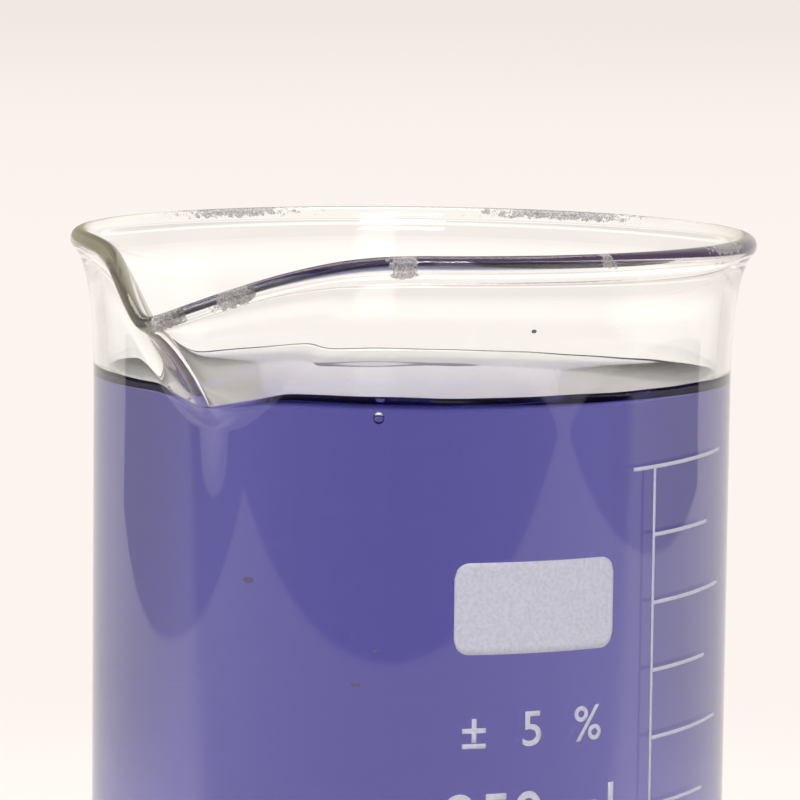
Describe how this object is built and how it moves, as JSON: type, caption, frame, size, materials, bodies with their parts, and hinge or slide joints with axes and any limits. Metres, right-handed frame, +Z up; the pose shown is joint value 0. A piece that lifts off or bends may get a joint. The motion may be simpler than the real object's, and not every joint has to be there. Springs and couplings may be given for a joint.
{
  "type": "glass beaker",
  "caption": "Low form glass beaker with a pouring spout and a white enamel scale, part filled with clear violet-blue liquid.",
  "frame": {"origin": "centre of the flat ring that the beaker stands on", "axes": "+Z up along the beaker's axis, the spout points along -Y, the scale is on the +X side"},
  "size_m": [0.0752, 0.084, 0.095],
  "materials": {
    "clear_glass": "gloss",
    "violet_liquid": "gloss",
    "white_enamel": "satin"
  },
  "bodies": {
    "root": {"beaker": "clear_glass", "liquid": "violet_liquid", "graduation_scale": "white_enamel", "marking_patch": "white_enamel"}
  },
  "joints": []
}
